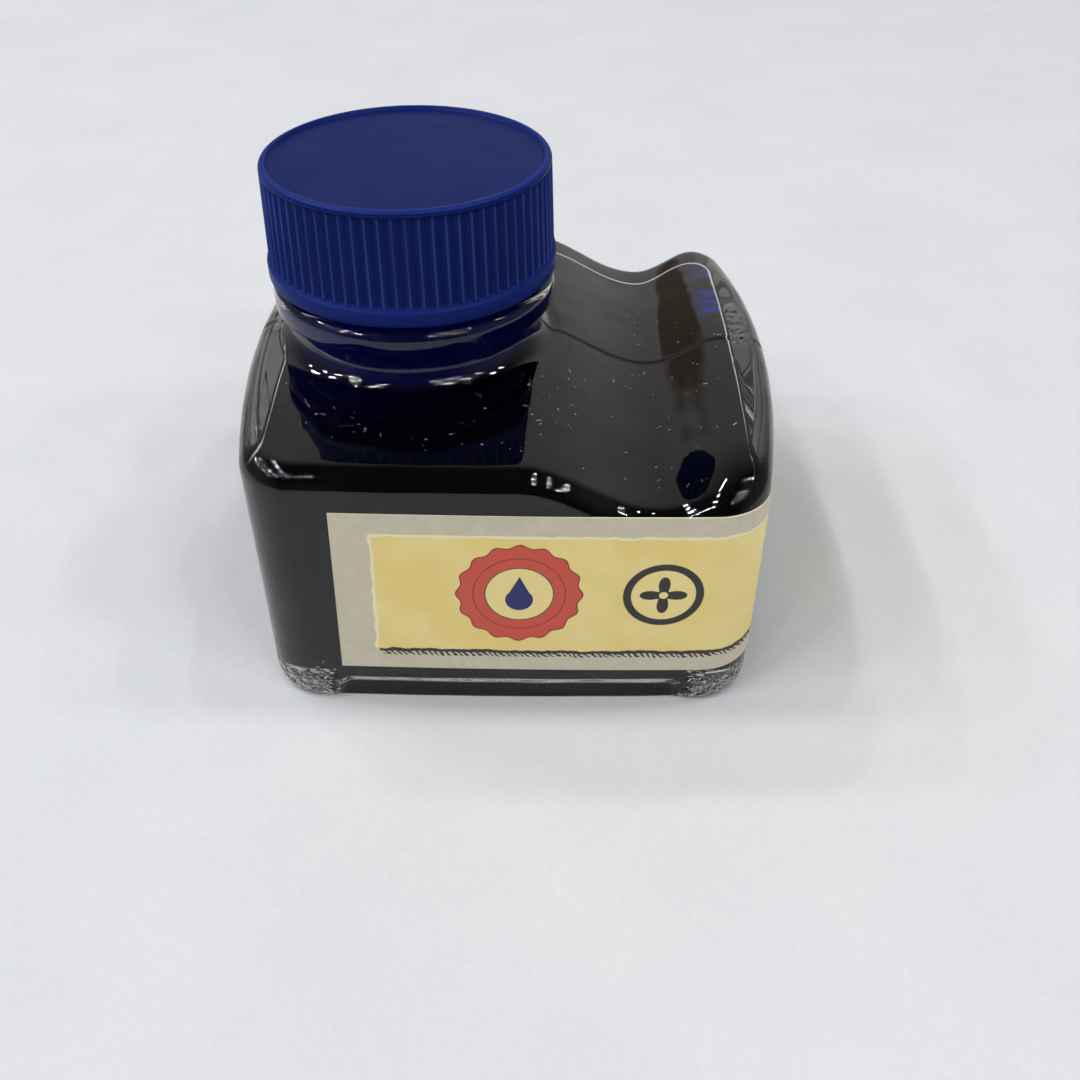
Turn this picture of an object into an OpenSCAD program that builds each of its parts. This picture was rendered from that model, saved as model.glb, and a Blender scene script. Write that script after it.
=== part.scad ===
// Desk ink bottle. A thick pressed-glass body with a wave in its shoulder that holds a pen,
// a short threaded neck set to one side, a fluted screw cap with its sealing disc,
// the ink inside, and a paper label that wraps one corner.
// The origin is under the middle of the body, +Z is up and the label faces -Y.

/* [Glass body] */
// Width of the body at the middle of its bowed ends
body_w = 62.4; // [56:0.2:76]
// Depth of the body from front to back
body_d = 61.4; // [56:0.2:76]
// Height of the shoulder at the front and rear edges
shoulder_h = 33; // [30:0.2:44]
// Rise of the shoulder from those edges to the middle
crown = 1.6; // [0.4:0.1:3]
// Bow of each end face
end_bow = 3.7; // [2:0.1:6]
// Bow of the front and rear faces
face_bow = 0.7; // [0.3:0.1:2]
// Radius of the four upright corners
corner_r = 6.6; // [5.6:0.2:9]
// Radius of the edge between the walls and the shoulder
edge_r = 2.6; // [1.6:0.2:3.4]
// Thickness of the side walls
wall = 3; // [2.4:0.2:4.4]
// Thickness of the glass under the shoulder
top_wall = 2.6; // [2.2:0.2:4]
// Thickness of the base, without its hollow
floor_t = 6; // [4.8:0.2:8]
// Radius of the upright corners of the cavity
cavity_corner_r = 5; // [4:0.2:7]
// Radius between the cavity's walls and its floor
cavity_floor_r = 3.2; // [1.6:0.2:4]
// Radius between the cavity's walls and its top
cavity_edge_r = 2; // [1:0.2:3]

/* [Heel] */
// Height of the arris where the sides step in to the heel
heel_h = 4.2; // [3.4:0.2:4.6]
// Set-back of the heel under that arris
heel_in = 0.9; // [0.5:0.1:1.4]
// How far each corner foot runs along the sides from its corner, under the arris
foot_reach = 3.6; // [2.6:0.2:6]
// How much shorter that foot is at the table
foot_slant = 1.7; // [0.4:0.1:2.2]
// Height of the rounding under the feet
foot_round_h = 2.2; // [1.2:0.2:2.6]
// Set-back of that rounding at the table
foot_round_in = 1; // [0.5:0.1:1.6]
// Radius of the hollow under the base
hollow_r = 17; // [10:0.5:20]
// Depth of that hollow
hollow_depth = 0.8; // [0.4:0.1:1.4]

/* [Pen rest] */
// Distance of the groove's lowest line from the right end
groove_from_end = 14.4; // [11:0.2:16]
// Length of the slope from the flat shoulder down to the groove
groove_run = 14.4; // [12:0.2:20]
// Depth of the groove below the shoulder
groove_drop = 5.6; // [2:0.1:6.5]
// Distance of the ridge's crest from the right end
crest_from_end = 5.4; // [4:0.2:7]
// Height of the crest above the groove
crest_rise = 3.6; // [1:0.1:5]

/* [Neck] */
// Distance of the neck's axis from the left end
neck_from_end = 19.7; // [18:0.1:24]
// Radius of the neck below its bead
neck_r = 14.6; // [13:0.1:15.4]
// Radius of the fillet that spreads the neck into the shoulder
neck_fillet = 1.8; // [1.2:0.2:3.4]
// Height of the bead's underside above the shoulder
bead_lift = 4.1; // [3.6:0.1:7]
// Height of the bead
bead_h = 3.3; // [2.4:0.1:4.4]
// How far the bead stands out from the neck
bead_out = 2; // [1:0.1:2.4]
// How far the threaded part of the neck lies inside the neck below it
finish_in = 1.1; // [0.6:0.1:1.6]
// Height of the lip above the bead
finish_h = 10.7; // [9:0.1:14]
// Rounding of the lip
lip_round = 0.9; // [0.4:0.1:1.2]
// Thickness of the glass in the threaded part
neck_wall = 3.1; // [2.4:0.1:4]

/* [Ink] */
// Level of the ink above the shoulder, inside the neck
ink_lift = -0.8; // [-2:0.1:3]

/* [Cap] */
// Height of the cap
cap_h = 12.7; // [11:0.1:16]
// Thickness of the skirt with its band
cap_wall = 2; // [1.8:0.1:2.6]
// Room for the threads between the neck and the skirt
thread_room = 1.3; // [0.9:0.1:1.8]
// Height of that band
band_h = 1.8; // [1:0.1:3]
// Step from the band in to the flutes
band_step = 0.25; // [0.1:0.05:0.4]
// Draft of the skirt, from the band to the top, on the radius
cap_draft = 0.3; // [0.1:0.05:0.5]
// Number of flutes round the skirt
flutes = 72; // [36:1:80]
// Depth of a flute
flute_depth = 0.5; // [0.3:0.05:0.6]
// Radius of the rim at the top of the skirt
rim_r = 0.5; // [0.3:0.05:1]
// Width of the flat land on the rim
rim_land = 0.2; // [0.1:0.05:0.8]
// Depth of the dished disc below the rim
dish_depth = 0.4; // [0.2:0.05:0.6]
// Thickness of the cap's top at its rim
cap_top = 1.8; // [1.4:0.1:2.6]

/* [Sealing disc] */
// Thickness of the sealing disc
liner_t = 1; // [0.6:0.1:1.8]
// Gap between the sealing disc and the skirt, on the radius
liner_gap = 0.4; // [0.2:0.05:0.6]

/* [Label] */
// Distance of the label's left edge from the left end
label_from_end = 12.1; // [10:0.1:20]
// Height of the label's lower edge
label_z = 5.8; // [4.6:0.1:8]
// Height of the label
label_h = 22.6; // [15:0.1:24]
// Thickness of the paper
label_t = 0.15; // [0.1:0.01:0.3]
// Thickness of the glue under it
glue_t = 0.02; // [0.01:0.01:0.1]
// Distance of the label's hidden edge from the rear face
label_from_rear = 12; // [9:0.5:40]

/* [Hidden] */
$fn = 96;
eps = 0.01;

// Segments of the outline along an end's half, round a corner and along a face
end_steps = 5;
corner_steps = 5;
face_steps = 28;
half_steps = 2 * end_steps + 2 * corner_steps + face_steps;
loop_steps = 2 * half_steps;
heel_steps = 3;
edge_steps = 5;
crown_steps = 2;

half_w = body_w / 2;
half_d = body_d / 2;
end_arc_r = (half_d * half_d + end_bow * end_bow) / (2 * end_bow);
face_arc_r = (half_w * half_w + face_bow * face_bow) / (2 * face_bow);

groove_x = half_w - groove_from_end;
groove_start_x = groove_x - groove_run;
crest_x = half_w - crest_from_end;

neck_x = neck_from_end - half_w;
shoulder_z = shoulder_h + crown;
bead_z = shoulder_z + bead_lift;
bead_top_z = bead_z + bead_h;
lip_z = bead_top_z + finish_h;
ink_z = shoulder_z + ink_lift;

ceiling_z = lip_z + liner_t;
cap_z = ceiling_z + cap_top - cap_h;
bead_r = neck_r + bead_out;
finish_r = neck_r - finish_in;
mouth_r = finish_r - neck_wall;
cap_bore_r = finish_r + thread_room;
cap_r = cap_bore_r + cap_wall;
skirt_r = cap_r - band_step;

// Rise or fall of the shoulder along X: flat, groove, ridge
function wave(x) =
    x <= groove_start_x ? 0 :
    x <= groove_x ? -groove_drop * (1 - cos(180 * (x - groove_start_x) / groove_run)) / 2 :
    x <= crest_x ? -groove_drop + crest_rise * (1 - cos(180 * (x - groove_x) / (crest_x - groove_x))) / 2 :
    crest_rise - groove_drop;
function top_z(x, y) = shoulder_h + wave(x) + crown * (1 - pow(y / half_d, 2));

// An outline with bowed sides: [half width, half depth, end arc, face arc, corner radius]
OUTER = [half_w, half_d, end_arc_r, face_arc_r, corner_r];
CAVITY = [half_w - wall, half_d - wall, end_arc_r - wall, face_arc_r - wall, cavity_corner_r];

// Centre of the front right corner, where the two insets of the side arcs cross
function corner_centre(o) =
    let (
        ax = o[0] - o[2],
        by = o[3] - o[1],
        ra = o[2] - o[4],
        rb = o[3] - o[4],
        gap = norm([ax, by]),
        u = [-ax, by] / gap,
        along = (ra * ra - rb * rb + gap * gap) / (2 * gap),
        across = sqrt(ra * ra - along * along)
    )
    [ax + along * u[0] + across * u[1], along * u[1] - across * u[0]];
function end_angle(o) = let (c = corner_centre(o)) atan2(c[1], c[0] - o[0] + o[2]);
function face_angle(o) = let (c = corner_centre(o)) atan2(c[1] - o[3] + o[1], c[0]);
function arc_point(c, r, a) = [c[0] + r * cos(a), c[1] + r * sin(a)];

// Point i of the right end, from its middle (0) forward round the corner
function end_point(o, i, inset) =
    i <= end_steps ?
        arc_point([o[0] - o[2], 0], o[2] - inset, end_angle(o) * i / end_steps) :
        arc_point(corner_centre(o), o[4] - inset,
                  end_angle(o) + (face_angle(o) - end_angle(o)) * (i - end_steps) / corner_steps);
// Point i of the front face, from its left corner to its right one
function face_point(o, i, inset) =
    let (a = face_angle(o), b = -180 - a)
    arc_point([0, o[3] - o[1]], o[3] - inset, b + (a - b) * i / face_steps);

// Point i of the whole loop: left end, front, right end, then the same mirrored to the rear
corner_end = end_steps + corner_steps;
function front_point(o, i, inset) =
    i < corner_end ? let (p = end_point(o, i, inset)) [-p[0], p[1]] :
    i <= corner_end + face_steps ? face_point(o, i - corner_end, inset) :
    end_point(o, half_steps - i, inset);
function loop_point(o, i, inset) =
    i <= half_steps ? front_point(o, i, inset) :
    let (p = front_point(o, loop_steps - i, inset)) [p[0], -p[1]];

// Rings of points from the base to the middle of the shoulder
function level_ring(o, inset, z) =
    [for (i = [0 : loop_steps - 1]) let (p = loop_point(o, i, inset)) [p[0], p[1], z]];
function floor_ring(o, t, z, r) = level_ring(o, r * (1 - sin(t)), z + r * (1 - cos(t)));

// Heel ring at height z: the outline keeps foot_in at the corner feet and heel_in between them
function past_corner(p) = let (c = corner_centre(OUTER)) max(c[0] - abs(p[0]), -c[1] - abs(p[1]));
function on_foot(i, z) =
    past_corner(loop_point(OUTER, i, 0)) <= foot_reach - foot_slant * (1 - z / heel_h);
function heel_ring(z, side_in, foot_in) =
    [for (i = [0 : loop_steps - 1])
        let (p = loop_point(OUTER, i, on_foot(i, z) ? foot_in : side_in))
        [p[0], p[1], z]];
// Slope under the arris, and how much the heel closes in to the table
arris_h = 0.4;
heel_close = 0.4;
function edge_ring(o, t, r, drop) =
    [for (i = [0 : loop_steps - 1])
        let (p = loop_point(o, i, r * (1 - cos(t))))
        [p[0], p[1], top_z(p[0], p[1]) - drop - r * (1 - sin(t))]];
// The inner rings close on the middle of the depth; the squeeze in X keeps them apart at the ends
squeeze = 0.02;
function crown_ring(o, s, r, drop) =
    [for (i = [0 : loop_steps - 1])
        let (p = loop_point(o, i, r), x = p[0] * (1 - squeeze * s), y = p[1] * (1 - s))
        [x, y, top_z(x, y) - drop]];

function flat_list(rings) = [for (ring = rings) for (p = ring) p];
function facing(i) = (loop_steps - i) % loop_steps;
// Skin of a stack of rings, closed by strips between the points that face each other
module stack(rings) {
    last = len(rings) - 1;
    n = loop_steps;
    sides = [for (k = [0 : last - 1]) for (i = [0 : n - 1])
        let (a = k * n + i, b = k * n + (i + 1) % n)
        each [[a, a + n, b], [b, a + n, b + n]]];
    lid = [for (i = [0 : half_steps - 1])
        let (a = last * n + i, b = a + 1, c = last * n + facing(i + 1), d = last * n + facing(i))
        each concat(i < half_steps - 1 ? [[a, c, b]] : [], i > 0 ? [[a, d, c]] : [])];
    base = [[for (i = [0 : n - 1]) i]];
    polyhedron(flat_list(rings), concat(sides, lid, base), convexity = 6);
}
module shouldered(o, lower_rings, edge, drop)
    stack(concat(
        lower_rings,
        [for (k = [0 : edge_steps]) edge_ring(o, 90 * k / edge_steps, edge, drop)],
        [for (k = [1 : crown_steps]) crown_ring(o, k / (crown_steps + 1), edge, drop)]));
module body_solid() {
    rounding = [for (k = [0 : heel_steps])
        let (t = 90 * k / heel_steps, closed = 1 - sin(t))
        heel_ring(foot_round_h * (1 - cos(t)), heel_in + heel_close * closed, foot_round_in * closed)];
    arris = [heel_ring(heel_h - arris_h, heel_in, 0), level_ring(OUTER, 0, heel_h)];
    shouldered(OUTER, concat(rounding, arris), edge_r, 0);
}
module cavity_solid()
    shouldered(CAVITY,
               [for (k = [0 : heel_steps]) floor_ring(CAVITY, 90 * k / heel_steps, floor_t, cavity_floor_r)],
               cavity_edge_r, top_wall);

// Points of an arc in a profile
arc_steps = 6;
function profile_arc(c, r, from, to) =
    [for (k = [0 : arc_steps]) arc_point(c, r, from + (to - from) * k / arc_steps)];

// Neck: fillet on the shoulder, bead that carries the bottle in its mould, plain finish and lip
bead_round = 1.3;
// The fillet is sunk a little into the shoulder; its toe follows the pen rest down
flare_sink = 0.5;
flare_toe = 0.6;
flare_r = neck_r + neck_fillet;
flare_z = shoulder_z - flare_sink + neck_fillet;
toe_z = shoulder_z - min(top_wall, flare_sink - wave(neck_x + flare_r + flare_toe)) + 2 * eps;
module neck_solid() {
    root_z = shoulder_z - top_wall + eps;
    profile = concat(
        [[0, root_z], [flare_r + flare_toe, root_z], [flare_r + flare_toe, toe_z]],
        profile_arc([flare_r, flare_z], neck_fillet, 270, 180),
        [[neck_r, bead_z]],
        profile_arc([bead_r - bead_round / 2, bead_z + bead_round / 2], bead_round / 2, 270, 360),
        profile_arc([bead_r - bead_round, bead_top_z - bead_round], bead_round, 0, 90),
        [[finish_r, bead_top_z]],
        profile_arc([finish_r - lip_round, lip_z - lip_round], lip_round, 0, 90),
        [[0, lip_z]]);
    translate([neck_x, 0, 0]) rotate_extrude() polygon(profile);
}
module mouth_bore(from_z, to_z)
    translate([neck_x, 0, from_z]) cylinder(r = mouth_r, h = to_z - from_z);

module glass_bottle() {
    // Sphere that hollows the underside between the feet
    hollow_sphere_r = (hollow_r * hollow_r + hollow_depth * hollow_depth) / (2 * hollow_depth);
    color("lightcyan", 0.4)
    difference() {
        union() {
            body_solid();
            neck_solid();
        }
        cavity_solid();
        mouth_bore(shoulder_z - top_wall - cavity_edge_r, lip_z + 1);
        translate([0, 0, hollow_depth - hollow_sphere_r]) sphere(r = hollow_sphere_r);
    }
}

module ink() {
    color("midnightblue")
    union() {
        cavity_solid();
        mouth_bore(shoulder_z - top_wall - cavity_edge_r, ink_z);
    }
}

// Outline of the fluted skirt: one round-bottomed flute after another
flute_floor_r = skirt_r - flute_depth;
flute_pitch = 360 / flutes;
flute_half_w = skirt_r * sin(flute_pitch / 2);
flute_arc_r = (flute_half_w * flute_half_w + flute_depth * flute_depth) / (2 * flute_depth);
// The small angle keeps a flat ridge between one flute and the next
flute_sweep = asin(flute_half_w / flute_arc_r) - 2;
flute_points = 5;
function flute_point(k, j) =
    let (
        t = flute_sweep * (2 * j / (flute_points - 1) - 1),
        r = flute_floor_r + flute_arc_r * (1 - cos(t)),
        side = flute_arc_r * sin(t),
        a = k * flute_pitch
    )
    [r * cos(a) - side * sin(a), r * sin(a) + side * cos(a)];
module fluted_outline()
    polygon([for (k = [0 : flutes - 1]) for (j = [0 : flute_points - 1]) flute_point(k, j)]);

// Chamfer of the band's two edges, and the plain foot of the rim above the flutes
band_edge = 0.2;
rim_foot = 0.1;
module screw_cap() {
    crown_r = skirt_r - cap_draft;
    rim_z = cap_h - rim_r;
    dish_r = crown_r - rim_r - rim_land;
    translate([neck_x, 0, cap_z])
    color("navy")
    difference() {
        union() {
            // Fluted skirt, drawn in a little towards the top
            intersection() {
                translate([0, 0, band_h / 2]) linear_extrude(height = rim_z - band_h / 2) fluted_outline();
                cylinder(r1 = skirt_r, r2 = crown_r, h = rim_z);
            }
            // Plain band at the foot
            rotate_extrude() polygon([
                [0, 0], [cap_r - band_edge, 0], [cap_r, band_edge],
                [cap_r, band_h - band_edge], [cap_r - band_edge, band_h], [0, band_h]]);
            // Rounded rim and the dished disc inside it
            rotate_extrude() polygon(concat(
                [[0, rim_z - rim_foot], [crown_r, rim_z - rim_foot]],
                profile_arc([crown_r - rim_r, rim_z], rim_r, 0, 90),
                [[dish_r, cap_h], [dish_r - dish_depth, cap_h - dish_depth], [0, cap_h - dish_depth]]));
        }
        translate([0, 0, -1]) cylinder(r = cap_bore_r, h = cap_h - cap_top + 1);
    }
}

module cap_liner() {
    translate([neck_x, 0, lip_z])
    color("gainsboro")
    cylinder(r = cap_bore_r - liner_gap, h = liner_t);
}

// The label lies on the front face, the right corner and most of the right end
label_steps = 14;
module label() {
    face_from = -acos((label_from_end - half_w) / face_arc_r);
    corner_a = face_angle(OUTER);
    end_a = end_angle(OUTER);
    end_to = asin((half_d - label_from_rear) / end_arc_r);
    centre = corner_centre(OUTER);
    function skin(out) = concat(
        [for (k = [0 : label_steps])
            arc_point([0, face_arc_r - half_d], face_arc_r + out,
                      face_from + (corner_a - face_from) * k / label_steps)],
        [for (k = [1 : corner_steps])
            arc_point(centre, corner_r + out, corner_a + (end_a - corner_a) * k / corner_steps)],
        [for (k = [1 : label_steps])
            arc_point([half_w - end_arc_r, 0], end_arc_r + out, end_a + (end_to - end_a) * k / label_steps)]);
    inner = skin(glue_t);
    outer = skin(glue_t + label_t);
    color("wheat")
    translate([0, 0, label_z])
    linear_extrude(height = label_h)
    polygon(concat(outer, [for (i = [len(inner) - 1 : -1 : 0]) inner[i]]));
}

glass_bottle();
ink();
screw_cap();
cap_liner();
label();
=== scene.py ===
"""A desk ink bottle: pressed-glass body with a pen rest, fluted screw cap, sealing disc, ink and label.

Lengths are in millimetres while a piece is shaped. Finished pieces and their materials are in metres.
"""
import math
import random

import bmesh
import bpy
from mathutils import Euler, Matrix, Vector


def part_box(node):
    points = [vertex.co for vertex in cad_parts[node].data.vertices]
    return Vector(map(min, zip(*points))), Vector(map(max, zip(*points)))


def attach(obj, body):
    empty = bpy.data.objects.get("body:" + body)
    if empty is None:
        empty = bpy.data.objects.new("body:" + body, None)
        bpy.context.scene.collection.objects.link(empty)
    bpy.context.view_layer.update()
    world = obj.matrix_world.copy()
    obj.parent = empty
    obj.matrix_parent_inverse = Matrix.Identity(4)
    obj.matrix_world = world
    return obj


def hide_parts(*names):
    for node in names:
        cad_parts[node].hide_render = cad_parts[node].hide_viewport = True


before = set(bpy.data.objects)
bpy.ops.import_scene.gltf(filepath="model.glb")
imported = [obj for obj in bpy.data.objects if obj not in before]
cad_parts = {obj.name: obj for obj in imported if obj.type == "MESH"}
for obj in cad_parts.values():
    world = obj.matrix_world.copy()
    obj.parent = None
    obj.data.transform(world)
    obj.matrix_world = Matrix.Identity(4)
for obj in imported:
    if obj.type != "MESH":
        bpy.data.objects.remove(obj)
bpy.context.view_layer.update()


# ---------------------------------------------------------------- Camera
# A camera held in the hand close above the table, a little to the right of the bottle's middle.
# It looks down at the front of the bottle.
MM = 0.001
camera_data = bpy.data.cameras.new("Camera")
camera_data.sensor_width = 36
camera_data.lens = 38.02
camera_data.clip_start = 0.01
camera = bpy.data.objects.new("Camera", camera_data)
camera.location = Vector((4.71, -125.04, 101.99)) * MM
camera.rotation_euler = Euler((math.radians(50.88), 0, math.radians(0.61)))
bpy.context.collection.objects.link(camera)
bpy.context.scene.camera = camera


# ---------------------------------------------------------------- Studio
# A pale felt table in a room with a pale wall behind the bottle and a dim side in front. Rows of
# lamp tubes under the ceiling, at the left and at the right, put points of light on the glass.
class Shader:
    """A material or node group that is being wired, node by node."""

    def __init__(self, tree):
        self.tree = tree

    def node(self, kind, **settings):
        made = self.tree.nodes.new("ShaderNode" + kind)
        for name, value in settings.items():
            setattr(made, name, value)
        return made

    def feed(self, socket, value):
        if isinstance(value, bpy.types.NodeSocket):
            self.tree.links.new(value, socket)
        else:
            socket.default_value = value

    def math(self, operation, first, second=0.0):
        made = self.node("Math", operation=operation)
        for socket, value in zip(made.inputs, (first, second)):
            self.feed(socket, value)
        return made.outputs[0]

    def between(self, value, low, high, to_low=0.0, to_high=1.0):
        made = self.node("MapRange", interpolation_type="SMOOTHSTEP")
        for socket, given in zip(made.inputs, (value, low, high, to_low, to_high)):
            self.feed(socket, given)
        return made.outputs[0]

    def mix(self, share, first, second):
        made = self.node("Mix", data_type="RGBA")
        self.feed(made.inputs["Factor"], share)
        self.feed(made.inputs[6], first)
        self.feed(made.inputs[7], second)
        return made.outputs[2]

    def noise(self, place, scale, detail=2.0, roughness=0.5):
        made = self.node("TexNoise")
        self.feed(made.inputs["Vector"], place)
        for name, value in (("Scale", scale), ("Detail", detail), ("Roughness", roughness)):
            made.inputs[name].default_value = value
        return made.outputs["Fac"]

    def bump(self, height, distance=1.0):
        made = self.node("Bump")
        self.feed(made.inputs["Height"], height)
        made.inputs["Distance"].default_value = distance
        return made.outputs["Normal"]

    def group(self, group, **inputs):
        made = self.node("Group")
        made.node_tree = group
        for name, value in inputs.items():
            self.feed(made.inputs[name.replace("_", " ")], value)
        return made.outputs


def new_material(name):
    """A material with an empty Principled shader: (material, wiring, shader, place on the object)."""
    made = bpy.data.materials.new(name)
    made.use_nodes = True
    wiring = Shader(made.node_tree)
    principled = made.node_tree.nodes["Principled BSDF"]
    place = wiring.node("TexCoord").outputs["Object"]
    return made, wiring, principled, place


def new_group(name, inputs, outputs):
    """A node group with named inputs and outputs, given as {name: (socket kind, start value)}."""
    tree = bpy.data.node_groups.new(name, "ShaderNodeTree")
    for label, (kind, start) in inputs.items():
        socket = tree.interface.new_socket(label, in_out="INPUT", socket_type="NodeSocket" + kind)
        if start is not None:
            socket.default_value = start
    for label, kind in outputs.items():
        tree.interface.new_socket(label, in_out="OUTPUT", socket_type="NodeSocket" + kind)
    wiring = Shader(tree)
    given = tree.nodes.new("NodeGroupInput").outputs
    result = tree.nodes.new("NodeGroupOutput").inputs
    return tree, wiring, given, result


# Felt: short fibres give the table a soft, slightly mottled grain.
felt, wiring, shader, place = new_material("Felt")
mottle = wiring.noise(place, 34.0, 4.0, 0.6)
fibre = wiring.noise(place, 900.0, 3.0, 0.7)
tone = wiring.math("ADD", wiring.math("MULTIPLY", mottle, 0.6), wiring.math("MULTIPLY", fibre, 0.4))
wiring.feed(shader.inputs["Base Color"],
            wiring.mix(tone, (0.455, 0.47, 0.495, 1), (0.58, 0.59, 0.60, 1)))
shader.inputs["Roughness"].default_value = 0.95
shader.inputs["Specular IOR Level"].default_value = 0.1
wiring.feed(shader.inputs["Normal"], wiring.bump(fibre, 0.00008))

table_size = 1.5
# The felt gives a hair under the glass, so the two never share a plane
felt_gives = 0.02 * MM
table_mesh = bpy.data.meshes.new("table")
bm = bmesh.new()
bmesh.ops.create_grid(bm, x_segments=1, y_segments=1, size=table_size)
bmesh.ops.translate(bm, verts=bm.verts, vec=(0, 0, -felt_gives))
bm.to_mesh(table_mesh)
bm.free()
table = bpy.data.objects.new("table", table_mesh)
table_mesh.materials.append(felt)
bpy.context.collection.objects.link(table)

# The room: a pale wall behind the bottle, dimmer ones at the sides, and a dark side in front
world = bpy.data.worlds.new("Room")
bpy.context.scene.world = world
world.use_nodes = True
wiring = Shader(world.node_tree)
room = world.node_tree.nodes["Background"]
way = wiring.node("SeparateXYZ")
around_us = wiring.node("TexCoord").outputs["Generated"]
wiring.feed(way.inputs[0], around_us)
behind = wiring.between(way.outputs["Y"], 0.2, 0.75)
beside = wiring.between(wiring.math("ABSOLUTE", way.outputs["X"]), 0.45, 0.95)
walls = wiring.mix(behind, (0.04, 0.04, 0.045, 1), (0.53, 0.505, 0.49, 1))
# A wooden cupboard stands against that wall, left of the middle
uneven = wiring.math("MULTIPLY", wiring.noise(around_us, 9.0), 0.05)
ragged = wiring.math("ADD", way.outputs["X"], uneven)
cupboard = wiring.math("MULTIPLY", wiring.between(ragged, -0.45, -0.39),
                       wiring.between(ragged, -0.25, -0.20, 1.0, 0.0))
cupboard = wiring.math("MULTIPLY", cupboard, wiring.between(way.outputs["Z"], 0.36, 0.50, 0.8, 0.0))
walls = wiring.mix(cupboard, walls, (0.14, 0.085, 0.03, 1))
side_share = wiring.math("MULTIPLY", beside, 0.8)
wiring.feed(room.inputs["Color"], wiring.mix(side_share, walls, (0.27, 0.27, 0.28, 1)))
room.inputs["Strength"].default_value = 1.0


tube_length, tube_width, ceiling_height = 0.2, 0.04, 1.6


def ceiling_tube(name, x, y, power):
    """A lamp tube under the ceiling: from the table it reads as a short bright line."""
    tube = bpy.data.lights.new(name, "AREA")
    tube.shape = "RECTANGLE"
    tube.size, tube.size_y = tube_length, tube_width
    tube.energy = power
    holder = bpy.data.objects.new(name, tube)
    holder.location = (x, y, ceiling_height)
    holder.rotation_euler = (-holder.location).to_track_quat("-Z", "Y").to_euler()
    bpy.context.collection.objects.link(holder)


for row in range(4):
    for column in range(3):
        ceiling_tube(f"LeftTube{row}{column}", -0.7 - 0.55 * column, -1.1 + 0.6 * row, 3.8)
for row in range(3):
    for column in range(3):
        ceiling_tube(f"RightTube{row}{column}", 0.5 + 0.45 * column, -1.5 + 0.8 * row, 2.9)


# ---------------------------------------------------------------- Glass bottle
# One piece of thick, fire-polished glass, pressed and blown in a two-part mould. Its shoulder dips
# into a groove and rises to a ridge, a rest for a pen. The neck stands to one side.
def node_box(node):
    """The box of a node of the frame: its low and high corners, in millimetres."""
    low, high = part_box(node)
    return low / MM, high / MM


glass_high = node_box("glass_bottle")[1]
cap_low, cap_high = node_box("screw_cap")
half_w, half_d = glass_high.x, glass_high.y
lip_z = glass_high.z
neck_x = (cap_low.x + cap_high.x) / 2

# The body's outside, and the hollow under its base
shoulder_h = 33.0
crown = 1.6
end_bow, face_bow = 3.7, 0.7
corner_r, edge_r = 6.6, 2.6
hollow_r, hollow_depth = 17.0, 0.8

# The wave of the pen rest: where it starts down, the groove, and the ridge's crest
groove_x = half_w - 14.4
groove_start_x = groove_x - 15.6
crest_x = half_w - 5.4
groove_drop, crest_rise = 5.6, 3.6
front_fall, fall_start, fall_length = 0.9, 21.0, 7.0

# How thick the glass is at the ends, the faces and the floor, and over the ink: at the left end,
# over the flat part, in the groove and under the ridge
end_wall, face_wall, floor_t = 3.9, 3.6, 5.2
left_wall, flat_wall, top_wall, ridge_wall = 2.8, 3.5, 3.0, 1.7

# The neck, its bead, and the threaded finish with its mouth
neck_r, neck_fillet = 14.6, 2.6
bead_r = 16.6
bead_z = shoulder_h + crown + 4.1
bead_top_z = bead_z + 3.3
finish_r, mouth_r = 13.5, 10.4

# One turn of the thread lifts the cap by this much, as the two coupled joints say
thread_pitch = 3.6
thread_turns = 1.5
thread_z = bead_top_z + 3.0
thread_height, thread_width = 0.75, 1.2


def swell(t):
    """A smooth rise from 0 to 1."""
    return (1 - math.cos(math.pi * min(max(t, 0.0), 1.0))) / 2


def shoulder_z(x, y):
    """Height of the shoulder: flat, down to the groove, up to the ridge, and crowned in depth."""
    wave = -groove_drop * swell((x - groove_start_x) / (groove_x - groove_start_x))
    ridge = swell((x - groove_x) / (crest_x - groove_x))
    wave += crest_rise * ridge
    # The ridge falls away a little at its front end
    fall = front_fall * ridge * (max(0.0, -y - fall_start) / fall_length) ** 2
    return shoulder_h + wave + crown * (1 - (y / half_d) ** 2) - fall


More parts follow.
